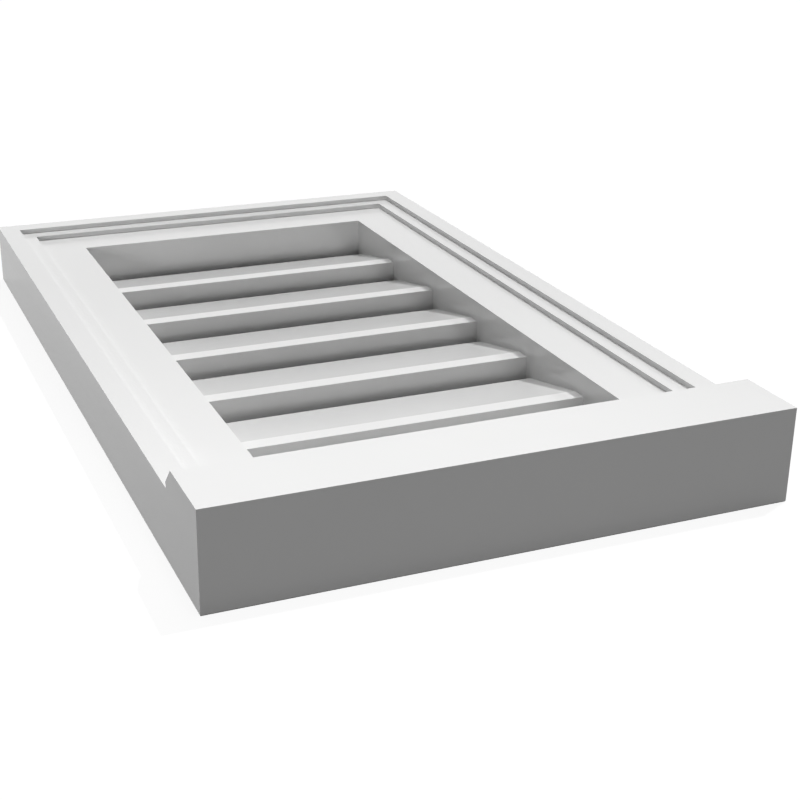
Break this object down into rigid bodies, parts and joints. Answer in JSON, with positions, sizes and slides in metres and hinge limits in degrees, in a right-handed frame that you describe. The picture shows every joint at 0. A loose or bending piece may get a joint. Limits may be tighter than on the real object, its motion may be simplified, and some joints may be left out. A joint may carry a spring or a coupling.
{
  "type": "gable vent",
  "caption": "Rectangular gable vent with a stepped casing, a deeper bevelled sill and fixed slats with narrow air slots between them",
  "frame": {"origin": "middle of the flat back, in the plane of the wall", "axes": "+X across the vent, +Y from the sill up to the head, +Z out of the wall; the vent lies on its back as pictured"},
  "size_m": [0.3048, 0.508, 0.0508],
  "materials": {
    "white_pvc": "smooth matte white cellular PVC"
  },
  "bodies": {
    "root": {"sill": "white_pvc", "left_jamb": "white_pvc", "right_jamb": "white_pvc", "head": "white_pvc", "slat_1": "white_pvc", "slat_2": "white_pvc", "slat_3": "white_pvc", "slat_4": "white_pvc", "slat_5": "white_pvc", "slat_6": "white_pvc"}
  },
  "joints": []
}
